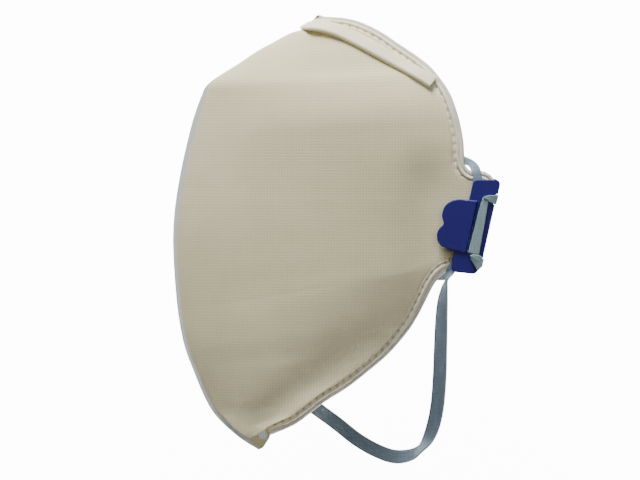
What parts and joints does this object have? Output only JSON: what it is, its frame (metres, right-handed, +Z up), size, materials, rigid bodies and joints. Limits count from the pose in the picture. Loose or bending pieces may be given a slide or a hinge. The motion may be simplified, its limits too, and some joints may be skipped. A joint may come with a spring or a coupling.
{
  "type": "fold-flat respirator",
  "caption": "Vertical fold-flat face respirator with a welded front edge, nose strip, sewn hem, moulded strap clips and elastic crown and neck straps.",
  "frame": {"origin": "on the nose ridge, where the hem rests on the bridge of the nose, in the middle plane", "axes": "-Y to the folded front edge, +Y to the open face side, +Z up, +X to the wearer's left"},
  "size_m": [0.0444, 0.1199, 0.165],
  "materials": {
    "sheet": "warm ivory non-woven with a fine embossed weave",
    "strip": "smooth cream, satin",
    "clip": "moulded navy blue, glossy satin",
    "elastic": "flat braided slate blue-grey elastic"
  },
  "bodies": {
    "root": {"filter_shell": "sheet", "face_hem": "sheet", "nose_strip": "strip", "strap_clip_left": "clip", "strap_clip_right": "clip", "clip_band_left": "elastic", "clip_band_right": "elastic", "crown_strap": "elastic", "neck_strap": "elastic"}
  },
  "joints": []
}
